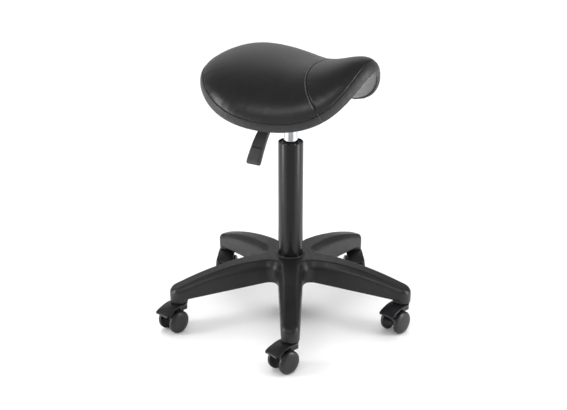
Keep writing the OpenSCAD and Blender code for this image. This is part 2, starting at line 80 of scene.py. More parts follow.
LEVER_R = 0.0035
PIVOT = Vector((-0.026, 0.0, 0.4745))
ROD_BEND, ROD_END = Vector((-0.038, 0.0, 0.4745)), Vector((-0.104, 0.0, 0.4555))
PADDLE = [(-0.088, 0.461), (-0.116, 0.453), (-0.1505, 0.394)]
PADDLE_HALF_WIDTHS, PADDLE_HALF_DEPTHS = (0.0080, 0.0166), (0.007, 0.004)
DISH_DEPTH, DISH_START, DISH_END = 0.0012, 0.07, 0.73


# ---------------------------------------------------------------- materials


class Nodes:
    """A material's node tree, built one node at a time."""

    def __init__(self, name):
        self.material = bpy.data.materials.new(name)
        self.material.use_nodes = True
        self.tree = self.material.node_tree
        self.shader = self.tree.nodes["Principled BSDF"]
        self.coords = self.add("ShaderNodeTexCoord").outputs["Object"]

    def add(self, kind, **values):
        node = self.tree.nodes.new(kind)
        for key, value in values.items():
            if hasattr(node, key):
                setattr(node, key, value)
            else:
                node.inputs[key.replace("_", " ")].default_value = value
        return node

    def link(self, output, target):
        self.tree.links.new(output, target)

    def noise(self, scale, detail=3.0, stretch=None):
        node = self.add("ShaderNodeTexNoise", Scale=scale, Detail=detail)
        self.link(self.stretched(stretch), node.inputs["Vector"])
        return node.outputs["Fac"]

    def cells(self, scale):
        node = self.add("ShaderNodeTexVoronoi", Scale=scale, feature="SMOOTH_F1", Smoothness=0.6)
        self.link(self.coords, node.inputs["Vector"])
        return node.outputs["Distance"]

    def stretched(self, stretch):
        if stretch is None:
            return self.coords
        node = self.add("ShaderNodeMapping")
        node.inputs["Scale"].default_value = stretch
        self.link(self.coords, node.inputs["Vector"])
        return node.outputs["Vector"]

    def ramp(self, factor, low, high, at=(0.35, 0.65)):
        node = self.add("ShaderNodeValToRGB")
        for stop, position, value in zip(node.color_ramp.elements, at, (low, high)):
            stop.position = position
            stop.color = (*value, 1) if isinstance(value, tuple) else (value, value, value, 1)
        self.link(factor, node.inputs["Fac"])
        return node.outputs["Color"]

    def colour(self, factor, low, high, at=(0.35, 0.65)):
        self.link(self.ramp(factor, low, high, at), self.shader.inputs["Base Color"])

    def roughness(self, factor, low, high, at=(0.35, 0.65)):
        self.link(self.ramp(factor, low, high, at), self.shader.inputs["Roughness"])

    def bump(self, height, depth, strength=1.0):
        node = self.add("ShaderNodeBump", Strength=strength, Distance=depth)
        self.link(height, node.inputs["Height"])
        before = self.shader.inputs["Normal"]
        if before.links:
            self.link(before.links[0].from_socket, node.inputs["Normal"])
        self.link(node.outputs["Normal"], before)

    def set(self, **values):
        for key, value in values.items():
            self.shader.inputs[key.replace("_", " ")].default_value = value
        return self


def vinyl():
    """Soft black upholstery vinyl: a fine pebbled grain with pores, slightly uneven gloss."""
    m = Nodes("vinyl")
    m.colour(m.noise(60, 4), (0.0074, 0.0071, 0.0070), (0.0095, 0.0091, 0.0089))
    m.roughness(m.noise(420, 3), 0.34, 0.41)
    m.bump(m.cells(620), 0.00022, 0.55)
    m.bump(m.noise(1500, 2), 0.00008, 0.5)
    m.bump(m.noise(90, 2), 0.00008, 0.35)
    m.set(Specular_IOR_Level=0.46, Sheen_Weight=0.02, Sheen_Roughness=0.4)
    return m.material


def band_vinyl_painted_lighter():
    """The side band's vinyl, a little flatter than the top's, with its colour painted lighter than the top's
    vinyl as painted front light on the band.
    """
    m = Nodes("band_vinyl_painted_lighter")
    # painted light: a lighter copy of the top's vinyl colour, standing in for the front light falling on the
    # band
    m.colour(m.noise(12, 2), (0.012, 0.012, 0.0135), (0.017, 0.017, 0.019))
    m.roughness(m.noise(60, 4), 0.48, 0.58)
    m.bump(m.cells(700), 0.00018, 0.5)
    m.bump(m.noise(1500, 2), 0.00006, 0.5)
    m.set(Sheen_Weight=0.06, Sheen_Roughness=0.5)
    return m.material


def thread():
    m = Nodes("thread")
    m.colour(m.noise(900, 2), (0.16, 0.16, 0.165), (0.30, 0.30, 0.30))
    m.bump(m.noise(4200, 1, (1, 3, 1)), 0.00012, 0.6)
    m.set(Roughness=0.6, Sheen_Weight=0.3)
    return m.material


def moulded(name, dark, light, rough, grain, depth):
    """Moulded plastic with an etched texture and faint flow marks."""
    m = Nodes(name)
    m.colour(m.noise(14, 3, (1, 1, 2)), dark, light)
    m.roughness(m.noise(110, 5), *rough)
    m.bump(m.noise(grain, 3), depth, 0.6)
    m.bump(m.noise(55, 2), 0.00012, 0.25)
    m.set(Specular_IOR_Level=0.40)
    return m.material


def tube_paint():
    """Black powder coat with a soft gloss and the faint orange peel it leaves."""
    m = Nodes("tube_paint")
    m.colour(m.noise(18, 2), (0.0065, 0.0065, 0.0072), (0.0090, 0.0090, 0.0098))
    m.roughness(m.noise(6, 1), 0.24, 0.27)
    m.bump(m.noise(900, 1), 0.000002, 0.3)
    m.set(Specular_IOR_Level=0.36)
    return m.material


def metal(name, low, high, rough, scratch, depth=0.00002):
    """Bare or plated metal with fine drawing lines along one direction."""
    m = Nodes(name)
    m.colour(m.noise(30, 3), low, high)
    m.roughness(m.noise(240, 3, scratch), *rough)
    m.bump(m.noise(900, 2, scratch), depth, 0.5)
    m.set(Metallic=1.0)
    return m.material


def rubber():
    m = Nodes("rubber")
    m.colour(m.noise(60, 3), (0.012, 0.012, 0.012), (0.022, 0.022, 0.022))
    m.bump(m.noise(900, 3), 0.0001, 0.5)
    m.set(Roughness=0.82)
    return m.material


def foam_material():
    m = Nodes("foam")
    m.colour(m.noise(40, 3), (0.62, 0.56, 0.36), (0.74, 0.68, 0.46))
    m.bump(m.cells(900), 0.0004, 0.8)
    m.set(Roughness=0.95, Sheen_Weight=0.15)
    return m.material


MATERIALS = {
    "vinyl": vinyl(),
    "band": band_vinyl_painted_lighter(),
    "thread": thread(),
    "base": moulded(
        "base_nylon", (0.0085, 0.0085, 0.0090), (0.0125, 0.0125, 0.0132), (0.36, 0.46), 1900, 0.00006),
    "caster": moulded(
        "caster_nylon", (0.0085, 0.0085, 0.0095), (0.0120, 0.0120, 0.0132), (0.30, 0.40), 1500, 0.00003),
    "lever": moulded(
        "lever_plastic", (0.021, 0.021, 0.0230), (0.028, 0.028, 0.0310), (0.42, 0.54), 1700, 0.00006),
    "shell": moulded(
        "shell_plastic", (0.055, 0.055, 0.056), (0.070, 0.070, 0.071), (0.36, 0.44), 1300, 0.00004),
    "bush": moulded("grey_plastic", (0.10, 0.10, 0.10), (0.13, 0.13, 0.13), (0.5, 0.6), 1200, 0.00005),
    "tube": tube_paint(),
    "chrome": metal("chrome", (0.56, 0.57, 0.59), (0.63, 0.64, 0.66), (0.08, 0.12), (1, 1, 40), 0.000004),
    "steel": metal("bright_steel", (0.50, 0.50, 0.51), (0.62, 0.62, 0.63), (0.2, 0.34), (1, 1, 12)),
    "zinc": metal("zinc_steel", (0.55, 0.56, 0.58), (0.68, 0.69, 0.72), (0.3, 0.45), (4, 4, 1)),
    "brass": metal("brass", (0.55, 0.38, 0.14), (0.68, 0.48, 0.2), (0.22, 0.36), (1, 1, 12)),
    "rubber": rubber(),
    "foam": foam_material(),
}


# ---------------------------------------------------------------- meshes


def make_piece(name, points, faces, material, body, slot, nodes=(), merge=0.0):
    """A smooth-shaded piece in metres, riding on a body and standing for CAD nodes."""
    mesh = bpy.data.meshes.new(name)
    mesh.from_pydata(np.asarray(points).tolist(), [], np.asarray(faces).tolist())
    shape = bmesh.new()
    shape.from_mesh(mesh)
    if merge:
        bmesh.ops.remove_doubles(shape, verts=shape.verts, dist=merge)
    bmesh.ops.recalc_face_normals(shape, faces=shape.faces)
    for face in shape.faces:
        face.smooth = True
    shape.to_mesh(mesh)
    shape.free()
    mesh.materials.append(MATERIALS[material])
    piece = bpy.data.objects.new(name, mesh)
    bpy.context.scene.collection.objects.link(piece)
    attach(piece, body)
    if nodes:
        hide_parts(*nodes)
    return piece


def grid_faces(rows, columns, wrap_rows=False, wrap_columns=True):
    """Quads between neighbouring points of a grid."""
    row_count, column_count = rows - (not wrap_rows), columns - (not wrap_columns)
    i, j = np.meshgrid(np.arange(row_count), np.arange(column_count), indexing="ij")
    below, beside = (i + 1) % rows, (j + 1) % columns
    corners = [i * columns + j, i * columns + beside, below * columns + beside, below * columns + j]
    return np.stack(corners, -1).reshape(-1, 4)


def rounded(corners, steps=5):
    """The points of a polygon whose corners, given as (x, y, radius), are turned into arcs."""
    result = []
    for i, (x, y, radius) in enumerate(corners):
        here = Vector((x, y))
        if radius == 0:
            result.append(tuple(here))
            continue
        back = (Vector(corners[i - 1][:2]) - here).normalized()
        on = (Vector(corners[(i + 1) % len(corners)][:2]) - here).normalized()
        half = back.angle(on) / 2
        middle = here + (back + on).normalized() * radius / math.sin(half)
        start, end = (here + side * radius / math.tan(half) - middle for side in (back, on))
        turn = math.pi - 2 * half
        for k in range(steps + 1):
            t = k / steps
            share = (math.sin((1 - t) * turn) * start + math.sin(t * turn) * end) / math.sin(turn)
            result.append(tuple(middle + share))
    return result


def lathe(profile, segments=96):
    """Points and faces of a closed profile (r, z) turned round the z axis."""
    profile = np.array(profile)
    turn = np.linspace(0, 2 * np.pi, segments, endpoint=False)
    r, z = profile[:, :1], profile[:, 1:]
    points = np.stack([r * np.cos(turn), r * np.sin(turn), z + 0 * turn], -1).reshape(-1, 3)
    return points, grid_faces(len(profile), segments, wrap_rows=True)


def placed(points, matrix):
    return np.asarray(points) @ np.array(matrix.to_3x3()).T + np.array(matrix.translation)


def solid_sheet(top, thickness, wrap):
    """A closed shell from a grid of points, thickened along its normals, away from the normal's side."""
    normal = grid_normals(top, wrap)
    rows, columns = top.shape[:2]
    points = np.concatenate([top.reshape(-1, 3), (top - thickness * normal).reshape(-1, 3)])
    count = rows * columns
    skin = grid_faces(rows, columns, wrap_columns=wrap)
    index = np.arange(count).reshape(rows, columns)
    if wrap:
        edge = np.append(index[-1], index[-1][0])
    else:
        edge = np.concatenate([index[0], index[1:, -1], index[-1, -2::-1], index[-2::-1, 0]])
    walls = np.stack([edge[:-1], edge[1:], edge[1:] + count, edge[:-1] + count], -1)
    return points, np.concatenate([skin, skin[:, ::-1] + count, walls])


def grid_normals(grid, wrap):
    """Unit normals of a grid of points whose rows run outward and whose columns run round."""
    outward = np.gradient(grid, axis=0)
    if wrap:
        around = np.roll(grid, -1, axis=1) - np.roll(grid, 1, axis=1)
    else:
        around = np.gradient(grid, axis=1)
    normal = np.cross(outward, around)
    length = np.linalg.norm(normal, axis=-1, keepdims=True)
    normal = np.where(length > 1e-14, normal / np.maximum(length, 1e-14), np.array([0.0, 0.0, 1.0]))
    return normal * np.sign(np.nanmean(normal[..., 2]))


def surface_mesh(distance, low, high, step):
    """The surface where distance(x, y, z) is nought, meshed with quads and drawn onto it."""
    axes = [np.arange(a, b + step, step) for a, b in zip(low, high)]
    value = distance(*np.meshgrid(*axes, indexing="ij"))
    cells = np.array(value.shape)
    total, number = np.zeros((value.size, 3)), np.zeros(value.size)
    crossings = []
    for axis in range(3):
        near = np.take(value, range(cells[axis] - 1), axis)
        far = np.take(value, range(1, cells[axis]), axis)
        edge = np.argwhere((near < 0) != (far < 0))
        a, b = near[tuple(edge.T)], far[tuple(edge.T)]
        place = edge.astype(float)
        place[:, axis] += a / (a - b)
        others = [k for k in range(3) if k != axis]
        around = []
        for shift in ((0, 0), (1, 0), (1, 1), (0, 1)):
            cell = edge.copy()
            cell[:, others[0]] -= shift[0]
            cell[:, others[1]] -= shift[1]
            flat = np.ravel_multi_index(tuple(cell.T), cells)
            around.append(flat)
            number += np.bincount(flat, minlength=value.size)
            for k in range(3):
                total[:, k] += np.bincount(flat, place[:, k], value.size)
        quad = np.stack(around, -1)
        turned = (a < 0) != (axis == 1)
        crossings.append(np.where(turned[:, None], quad, quad[:, ::-1]))
    used = np.flatnonzero(number)
    points = total[used] / number[used, None] * step + np.array([axis[0] for axis in axes])
    order = np.zeros(value.size, int)
    order[used] = np.arange(len(used))
    for _ in range(4):
        points = points - newton_step(distance, points, step)
    return points, order[np.concatenate(crossings)]


def newton_step(distance, points, step):
    """How far each point lies from the surface, along its gradient, at most half a grid step."""
    h = 0.1 * step
    here = distance(*points.T)
    slope = np.stack([
        distance(*(points + h * unit).T) - distance(*(points - h * unit).T) for unit in np.eye(3)], -1)
    slope /= 2 * h
    move = here[:, None] * slope / np.maximum((slope**2).sum(-1, keepdims=True), 0.05)
    size = np.linalg.norm(move, axis=-1, keepdims=True)
    return move * np.minimum(1, 0.5 * step / np.maximum(size, 1e-12))


def smooth_max(a, b, radius):
    """The greater of two distances, with their crossing rounded."""
    blend = np.maximum(radius - np.abs(a - b), 0) / radius
    return np.maximum(a, b) + blend**2 * radius / 4


def smooth_min(a, b, radius):
    return -smooth_max(-a, -b, radius)


def round_join(a, b, radius):
    """The union of two shapes with a round fillet where they meet."""
    reach = np.hypot(np.maximum(radius - a, 0), np.maximum(radius - b, 0))
    return np.maximum(radius, np.minimum(a, b)) - reach


def lerp(a, b, t):
    return a + (b - a) * t


# ---------------------------------------------------------------- base

CORNER_FILLET = 0.031
RIB_HALF = 0.00125
RIB_PLACES = (0.085, 0.110, 0.150, 0.190)


def arm_top(r):
    return HUB_TOP - ARM_FALL * (np.maximum(r - HUB_FLAT, 0) / ARM_RUN) ** ARM_BEND


def arm_low(r):
    return 0.073 + 0.1 * np.maximum(0.233 - r, 0)


def arm_half(r):
    return lerp(ARM_ROOT_HALF, ARM_END_HALF, np.clip((r - 0.063) / 0.187, 0, 1))


def arm_plan(x, y):
    """Distance outside an arm's outline, seen from above."""
    return np.hypot(np.maximum(x - STEM_CIRCLE, 0), y) - arm_half(np.clip(x, 0, STEM_CIRCLE))


def arm_section(x, plan, z, inset):
    """Distance outside the arm's top, shoulder and side, all moved inward by inset."""
    r = np.minimum(x, STEM_CIRCLE + 0.015)
    top = arm_top(r)
    ridge = 0.0125 + 0.006 * (np.maximum(0.180 - r, 0) / 0.105) ** 2
    nose = np.clip((r - 0.236) / 0.026, 0, 1) ** 2
    run = lerp(arm_half(np.minimum(r, STEM_CIRCLE)) - np.minimum(ridge, 0.0175), 0.0045, nose)
    drop = lerp(lerp(0.014, 0.0085, np.clip((r - 0.099) / 0.111, 0, 1)), 0.0048, nose)
    shoulder = ((plan + run) * drop + (z - top) * run) / np.hypot(drop, run)
    crown = smooth_max(z - top, shoulder, 0.0020)
    return smooth_max(crown, plan, 0.0040) + inset


def base_distance(x, y, z):
    """The moulded base: five hollow, ribbed arms round a socket."""
    angle = np.arctan2(y, x) - FIRST_ARM
    angle = angle - ARM_STEP * np.round(angle / ARM_STEP)
    r = np.hypot(x, y)
    along, across = r * np.cos(angle), np.abs(r * np.sin(angle))
    far = along * math.cos(ARM_STEP) + across * math.sin(ARM_STEP)
    side = across * math.cos(ARM_STEP) - along * math.sin(ARM_STEP)
    plan = round_join(arm_plan(along, across), arm_plan(far, side), CORNER_FILLET)
    outer = arm_section(along, plan, z, 0)
    floor = arm_low(along) - z
    end = np.hypot(along - STEM_CIRCLE, across)
    pad = smooth_max(smooth_max(end - 0.0192, TIP_Z - z, 0.0015), z - 0.080, 0.001)
    body = smooth_max(outer, floor, 0.0016)
    inner = np.maximum(arm_section(along, plan, z, BASE_WALL), along - 0.2365)
    body = np.maximum(body, -np.maximum(inner, 0.0303 - r))
    cross = np.minimum.reduce([np.abs(along - place) for place in RIB_PLACES]) - RIB_HALF
    spine = np.maximum(np.minimum(across, side_of_corner(along, across)) - RIB_HALF, 0)
    ribs = np.maximum(np.minimum(cross, spine), floor + 0.002)
    ribs = np.maximum(np.maximum(ribs, outer + 0.001), along - 0.238)
    body = np.minimum(body, ribs)
    stem = np.maximum(end - 0.013, np.maximum(TIP_Z - z, z - 0.094))
    socket = smooth_max(r - RING_R, z - RING_TOP, 0.0016)
    body = round_join(np.minimum(np.minimum(body, pad), stem), np.maximum(socket, SOCKET_LOW - z), 0.0012)
    taper = r - (TUBE_R - TAPER_DROP * (RING_TOP - z) / (RING_TOP - SOCKET_LOW)) - FIT
    hole = np.maximum(end - STEM_R - FIT, z - 0.092)
    return np.maximum(body, -np.minimum(taper, hole))


def side_of_corner(along, across):
    """Distance from the plane half way between two arms."""
    half = ARM_STEP / 2
    return np.abs(along * math.sin(half) - across * math.cos(half))


def build_base():
    reach = STEM_CIRCLE + ARM_END_HALF + 0.002
    step = 0.0016
    low, high = (-reach, -reach, TIP_Z - 0.003), (reach, reach, RING_TOP + 0.003)
    points, faces = surface_mesh(base_distance, low, high, step)
    make_piece("base_moulding", points, faces, "base", "base", "base_nylon", ["star_base"])


# ---------------------------------------------------------------- column


def build_column():
    low_r = TUBE_R - TAPER_DROP
    tube = rounded([
        (low_r, SOCKET_LOW, 0.0004), (TUBE_R, RING_TOP, 0), (TUBE_R, TUBE_TOP, 0.0007),
        (TUBE_R - TUBE_WALL, TUBE_TOP, 0.0005), (TUBE_R - TUBE_WALL, RING_TOP, 0),
        (low_r - TUBE_WALL, SOCKET_LOW, 0.0004)])
    make_piece("stand_tube", *lathe(tube, 160), "tube", "base", "black_paint", ["outer_tube"])
    bush_r, bore = TUBE_R - TUBE_WALL, CYLINDER_R + FIT
    bush = rounded([
        (bush_r, BUSH_TOP, 0.0006), (bush_r, BUSH_TOP - 0.012, 0), (CYLINDER_R + 0.003, BUSH_TOP - 0.012, 0),
        (CYLINDER_R + 0.003, BUSH_LOW + 0.010, 0), (bush_r, BUSH_LOW + 0.010, 0), (bush_r, BUSH_LOW, 0.0005),
        (bore, BUSH_LOW, 0.0005), (bore, BUSH_TOP - 0.0015, 0), (bore + 0.0014, BUSH_TOP, 0.0004)])
    make_piece("top_bush", *lathe(bush, 128), "bush", "base", "grey_plastic", ["guide_bush"])
    cylinder = rounded([
        (CYLINDER_R, CYLINDER_LOW, 0.0008), (CYLINDER_R, TAPER_LOW, 0.004),
        (CYLINDER_R - 0.0009, CYLINDER_TOP, 0.0006),
        (0.00305, CYLINDER_TOP, 0.0003), (0.00305, CYLINDER_TOP - 0.008, 0),
        (CYLINDER_R - CYLINDER_WALL, CYLINDER_TOP - 0.008, 0),
        (CYLINDER_R - CYLINDER_WALL, CYLINDER_LOW, 0.0005)])
    make_piece("chrome_cylinder", *lathe(cylinder, 160), "chrome", "seat", "chrome_tube", ["gas_cylinder"])


# ---------------------------------------------------------------- casters


def hood_distance(x, y, z):
    """A caster's hood, neck and web, with the stem on the z axis and the trail along x."""
    run = np.maximum(x - HOOD_FLAT, 0)
    fall = HOOD_FALL * run**HOOD_BEND
    slope = HOOD_FALL * HOOD_BEND * run ** (HOOD_BEND - 1)
    crown = 0.0012 + 0.0022 * np.exp(-(((x - 0.034) / 0.013) ** 2))
    height = 0.0623 - fall - crown * (y / HOOD_HALF) ** 2 - 0.0016 * np.clip(-x / 0.014, 0, 1) ** 2
    above = (z - height) / np.sqrt(1 + slope**2)
    sheet = smooth_max(above, -above - HOOD_T, 0.0011)
    corner = np.hypot(np.maximum(np.abs(y) - HOOD_HALF + 0.004, 0), np.maximum(x - 0.0484, 0)) - 0.004
    corner = np.maximum(corner, np.abs(y) - HOOD_HALF)
    back = -x - 0.002 - np.minimum(np.maximum(HOOD_HALF - np.abs(y), 0) * 1.4, 0.0135)
    sheet = smooth_max(sheet, smooth_max(corner, back, 0.003), 0.0012)
    r = np.hypot(x, y)
    neck = smooth_max(r - NECK_R, smooth_max(np.abs(y) - NECK_HALF, NECK_LOW - z, 0.002), 0.0015)
    neck = smooth_max(neck, z - NECK_TOP, 0.0012)
    disc = smooth_max(r - NECK_R, np.maximum(z - NECK_TOP, 0.0555 - z), 0.0012)
    axle = np.hypot(x - TRAIL, z - WHEEL_R)
    web = np.maximum(np.maximum(-0.006 - x, x - TRAIL - 0.004), np.maximum(0.020 - z, z - 0.058))
    web = np.maximum(smooth_min(web, axle - 0.009, 0.003), np.abs(y) - WEB_HALF)
    body = smooth_min(smooth_min(neck, disc, 0.001), smooth_min(sheet, web, 0.002), 0.0025)
    bore = np.minimum(np.maximum(r - STEM_R - FIT, 0.045 - z), axle - AXLE_R - FIT)
    return np.maximum(body, -bore)


def caster_matrix(i):
    """The frame of caster i: the stem on its z axis and the trail along its x axis."""
    arm = FIRST_ARM + i * ARM_STEP
    place = Matrix.Translation((STEM_CIRCLE * math.cos(arm), STEM_CIRCLE * math.sin(arm), 0))
    return place @ Matrix.Rotation(TRAIL_ANGLES[i], 4, "Z")


def wheel_profile():
    """Half of a wheel pair in section: (radius, distance outward from its inner face)."""
    width = (WHEEL_SPAN - WHEEL_GAP) / 2
    hub = -(WHEEL_GAP / 2 - WEB_HALF - 0.0003)
    rim = 0.0048
    blunt, full = 0.62, 0.9
    turn = [math.acos(share ** (1 / blunt)) for share in np.sin(np.linspace(math.pi / 2, 0.012, 26))[1:]]
    dome = [(WHEEL_R * math.cos(b) ** blunt, rim + (width - rim) * math.sin(b) ** full) for b in turn]
    inner = rounded([
        (AXLE_R + FIT, width - WHEEL_CAP, 0), (AXLE_R + FIT, hub, 0),
        (0.008, hub, 0.0004), (0.008, 0.0022, 0.0006),
        (0.0205, 0.0022, 0.0008), (0.0215, 0, 0.0005), (WHEEL_R, 0, 0.0011), (WHEEL_R, rim, 0)])
    return inner + dome + [(0.00001, width), (0.00001, width - WHEEL_CAP)]


def build_casters():
    low, high = (-0.019, -0.021, 0.014), (0.055, 0.021, 0.065)
    hood_points, hood_faces = surface_mesh(hood_distance, low, high, 0.0008)
    wheel_points, wheel_faces = lathe(wheel_profile(), 96)
    for i in range(ARM_COUNT):
        frame_i = caster_matrix(i)
        number = i + 1
        make_piece(f"caster_cover_{number}", placed(hood_points, frame_i), hood_faces, "caster",
                   f"caster_{number}", "caster_nylon", [f"caster_hood_{number}"])
        for name, side in (("left", 1), ("right", -1)):
            axle = Matrix.Translation((TRAIL, side * WHEEL_GAP / 2, WHEEL_R)) @ Matrix.Rotation(
                -side * math.pi / 2, 4, "X")
            wheel = f"wheel_{name}_{number}"
            make_piece(f"caster_{wheel}", placed(wheel_points, frame_i @ axle), wheel_faces, "caster",
                       wheel, "caster_nylon", [wheel])


# ---------------------------------------------------------------- seat surfaces


def outline(a):
    """Forward and side distance of the seat's outline from its middle, at angle a."""
    c = np.cos(a)
    p, q, s = OUTLINE_SHAPE
    return SEAT_HALF_LENGTH * c, SEAT_HALF_WIDTH * np.sin(a) * (1 + p * c + q * c**2 + s * c**3)


def saddle(u, v):
    """Height of the surface through the seam at forward distance u and side distance v."""
    x = (u - SEAT_MID - SADDLE_LOW) / SEAT_HALF_LENGTH
    e = (u - SEAT_MID) / SEAT_HALF_LENGTH
    w = (v / SEAT_HALF_WIDTH) ** 2
    back = (np.hypot(x, CANTLE_EASE) - x) / 2
    rise = CANTLE_RISE * back**1.5 + POMMEL_RISE * np.maximum(x, 0) ** 2.5
    drop = SIDE_DROP[0] + SIDE_DROP[1] * e + SIDE_DROP[2] * e**2 + SIDE_DROP[3] * e**3
    return SEAM_Z + rise - w * (1 - 0.4 * w) * drop


def seat_point(a, r, h, inset=0.0):
    """The point at angle a and share r of the way to the outline, h above the saddle surface."""
    a, r, h, inset = np.broadcast_arrays(a, r, h, inset)
    forward, side = outline(a)
    k = 1 - inset / 0.150
    u, v = SEAT_MID + forward * k * r, side * k * r
    d = 0.0005
    du, dv = saddle(u + d, v) - saddle(u - d, v), saddle(u, v + d) - saddle(u, v - d)
    normal = np.stack([-du, -dv, 2 * d + 0 * du], -1)
    normal /= np.linalg.norm(normal, axis=-1, keepdims=True)
    p = np.stack([u, v, saddle(u, v)], -1) + h[..., None] * normal
    return np.stack([-p[..., 1], -p[..., 0], p[..., 2]], -1)


def dome(a, r):
    return CROWN * (1 + DOME_LEAN * r * np.cos(a)) * np.sqrt(np.maximum(1 - r**DOME_POWER, 0))


def seam_distance(a, share):
    """Distance in front of the cross seam of the place at angle a and share of the outline."""
    forward, side = (SEAT_MID + outline(a)[0] * share, outline(a)[1] * share)
    line = CROSS_SEAM + CROSS_SEAM_SWEEP * (side / SEAT_HALF_WIDTH) ** 2
    slope = 2 * CROSS_SEAM_SWEEP * side / SEAT_HALF_WIDTH**2
    return (forward - line) / np.sqrt(1 + slope**2)


def waves(a, counts, seed):
    """A smooth, repeatable run of small waves round the seat, between -1 and 1."""
    total = sum(np.sin(n * a + seed * (k + 1) * 1.7) for k, n in enumerate(counts))
    return total / len(counts)


STITCH_GAP, THREAD_R = 0.0042, 0.00042


def sewn(plan):
    """The cover's surface over places in the seat's plan, as it is sewn: drawn in at the seams, full beside
    them and puckered at the rim."""
    a, share = polar(plan[..., 0] - SEAT_MID, plan[..., 1])
    share = np.clip(share, 0, 1)
    points = seat_point(a, share, dome(a, share))
    ahead = seam_distance(a, share)
    seam_gap = np.abs(ahead)
    rim_gap = np.hypot(dome(a, share), (1 - share) * np.hypot(*outline(a)))
    tuck = 0.0007 * np.exp(-((rim_gap / 0.0018) ** 2)) + 0.0010 * np.exp(-((seam_gap / 0.0012) ** 2))
    pull = 0.0007 * np.exp(-seam_gap / 0.016) + 0.0004 * np.exp(-rim_gap / 0.010)
    groove = 0.00045 * np.exp(-(((seam_gap - STITCH_GAP) / 0.0008) ** 2)) * (ahead < 0)
    pucker = 0.00016 * waves(a, (151, 97, 211), 1.3) * np.exp(-rim_gap / 0.006)
    pucker = pucker + 0.0004 * waves(a, (37, 61, 23), 2.1) * np.exp(-rim_gap / 0.024)
    side = points[..., 0]
    ripple = 0.00025 * np.sin(side * 420 + 3 * np.sin(side * 60)) * np.exp(-seam_gap / 0.009)
    lift = pucker + ripple - tuck - pull - groove
    return points + lift[..., None] * grid_normals(points, True)


def seam_corner():
    """Angle at which the cross seam reaches the rim."""
    a = np.linspace(0.3, 1.3, 4001)
    return a[np.argmax(seam_distance(a, 1.0) < 0)]


def build_panel(name, node, centre, edge):
    """A panel of the cover: rings that shrink from its sewn edge to a point within it."""
    rows = 124
    t = np.sin((1 - (1 - np.linspace(0.006, 1, rows)) ** 1.2) * np.pi / 2)[:, None, None]
    middle = np.array([centre, 0.0])
    points, faces = solid_sheet(sewn(middle + t * (edge - middle)), COVER_T - 0.0003, True)
    panel = make_piece(name, points, faces, "vinyl", "seat", "black_vinyl", [node])
    close_hole(panel)


def build_cover():
    corner = seam_corner()
    fine = 1
    side = outline(corner)[1]

    def rim(start, end, count):
        a = np.linspace(start, end, count, endpoint=False)
        u, v = outline(a)
        return np.stack([SEAT_MID + u, v], -1)

    def seam(start, end, count, shift):
        v = np.linspace(start, end, count, endpoint=False)
        return np.stack([CROSS_SEAM + CROSS_SEAM_SWEEP * (v / SEAT_HALF_WIDTH) ** 2 + shift, v], -1)

    rear = np.concatenate([
        rim(corner, 2 * np.pi - corner, 600 // fine), seam(-side, side, 180 // fine, -0.0001)])
    build_panel("panel_rear", "cover_rear", -0.020, rear)
    front = np.concatenate([rim(-corner, corner, 210 // fine), seam(side, -side, 180 // fine, 0.0001)])
    build_panel("panel_front", "cover_front", 0.135, front)


def close_hole(piece):
    """Closes the small hole left at the middle of a polar grid."""
    shape = bmesh.new()
    shape.from_mesh(piece.data)
    edges = [e for e in shape.edges if e.is_boundary]
    bmesh.ops.holes_fill(shape, edges=edges, sides=0)
    bmesh.ops.recalc_face_normals(shape, faces=shape.faces)
    for face in shape.faces:
        face.smooth = True
    shape.to_mesh(piece.data)
    shape.free()


def band_profile(bulge):
    """The band in section: (height, inset) from the seam down, under the shell and back up inside."""
    down = np.linspace(0, 1, 13)
    outer = [(-BAND_H * s, BAND_LEAN * s**1.4 - bulge * math.sin(math.pi * s) ** 0.8) for s in down]
    under = [(-BAND_H - 0.0014, BAND_LEAN + 0.0004), (HEM_LOW, BAND_LEAN + 0.0018),
             (HEM_LOW, BAND_LEAN + HEM_W), (HEM_LOW + 0.0006, BAND_LEAN + HEM_W + 0.0004)]
    inner = [(HEM_LOW + COVER_T, BAND_LEAN + HEM_W), (HEM_LOW + COVER_T, BAND_LEAN + 0.0020),
             (-0.5 * BAND_H, 0.4 * BAND_LEAN + COVER_T), (-0.0008, COVER_T)]
    return np.array(outer + under + inner)


def build_band():
    columns = 1440
    a = np.linspace(0, 2 * np.pi, columns, endpoint=False)
    profile = band_profile(0.0009)
    profile[0, 1] += 0.0005
    h, inset = profile[:, :1], profile[:, 1:]
    grid = seat_point(a[None, :], 1.0, h + 0 * a, inset)
    outer = 16
    joint = np.exp(-((seam_distance(a, 1.0)[None, :] / 0.0010) ** 2)) * 0.0010
    wave = 0.00028 * waves(a, (43, 29, 67, 90), 0.7)[None, :] * np.sin(np.pi * np.clip(-h / BAND_H, 0, 1))
    move = np.where(np.arange(len(profile))[:, None] < outer, wave - joint, 0)
    outward = seat_point(a[None, :], 1.0, h + 0 * a, inset - 0.001) - grid
    outward /= np.linalg.norm(outward, axis=-1, keepdims=True)
    grid = grid + move[..., None] * outward
    faces = grid_faces(len(profile), columns, wrap_rows=True)
    piece = make_piece("rim_band", grid.reshape(-1, 3), faces, "band", "seat", "black_vinyl", ["side_band"])


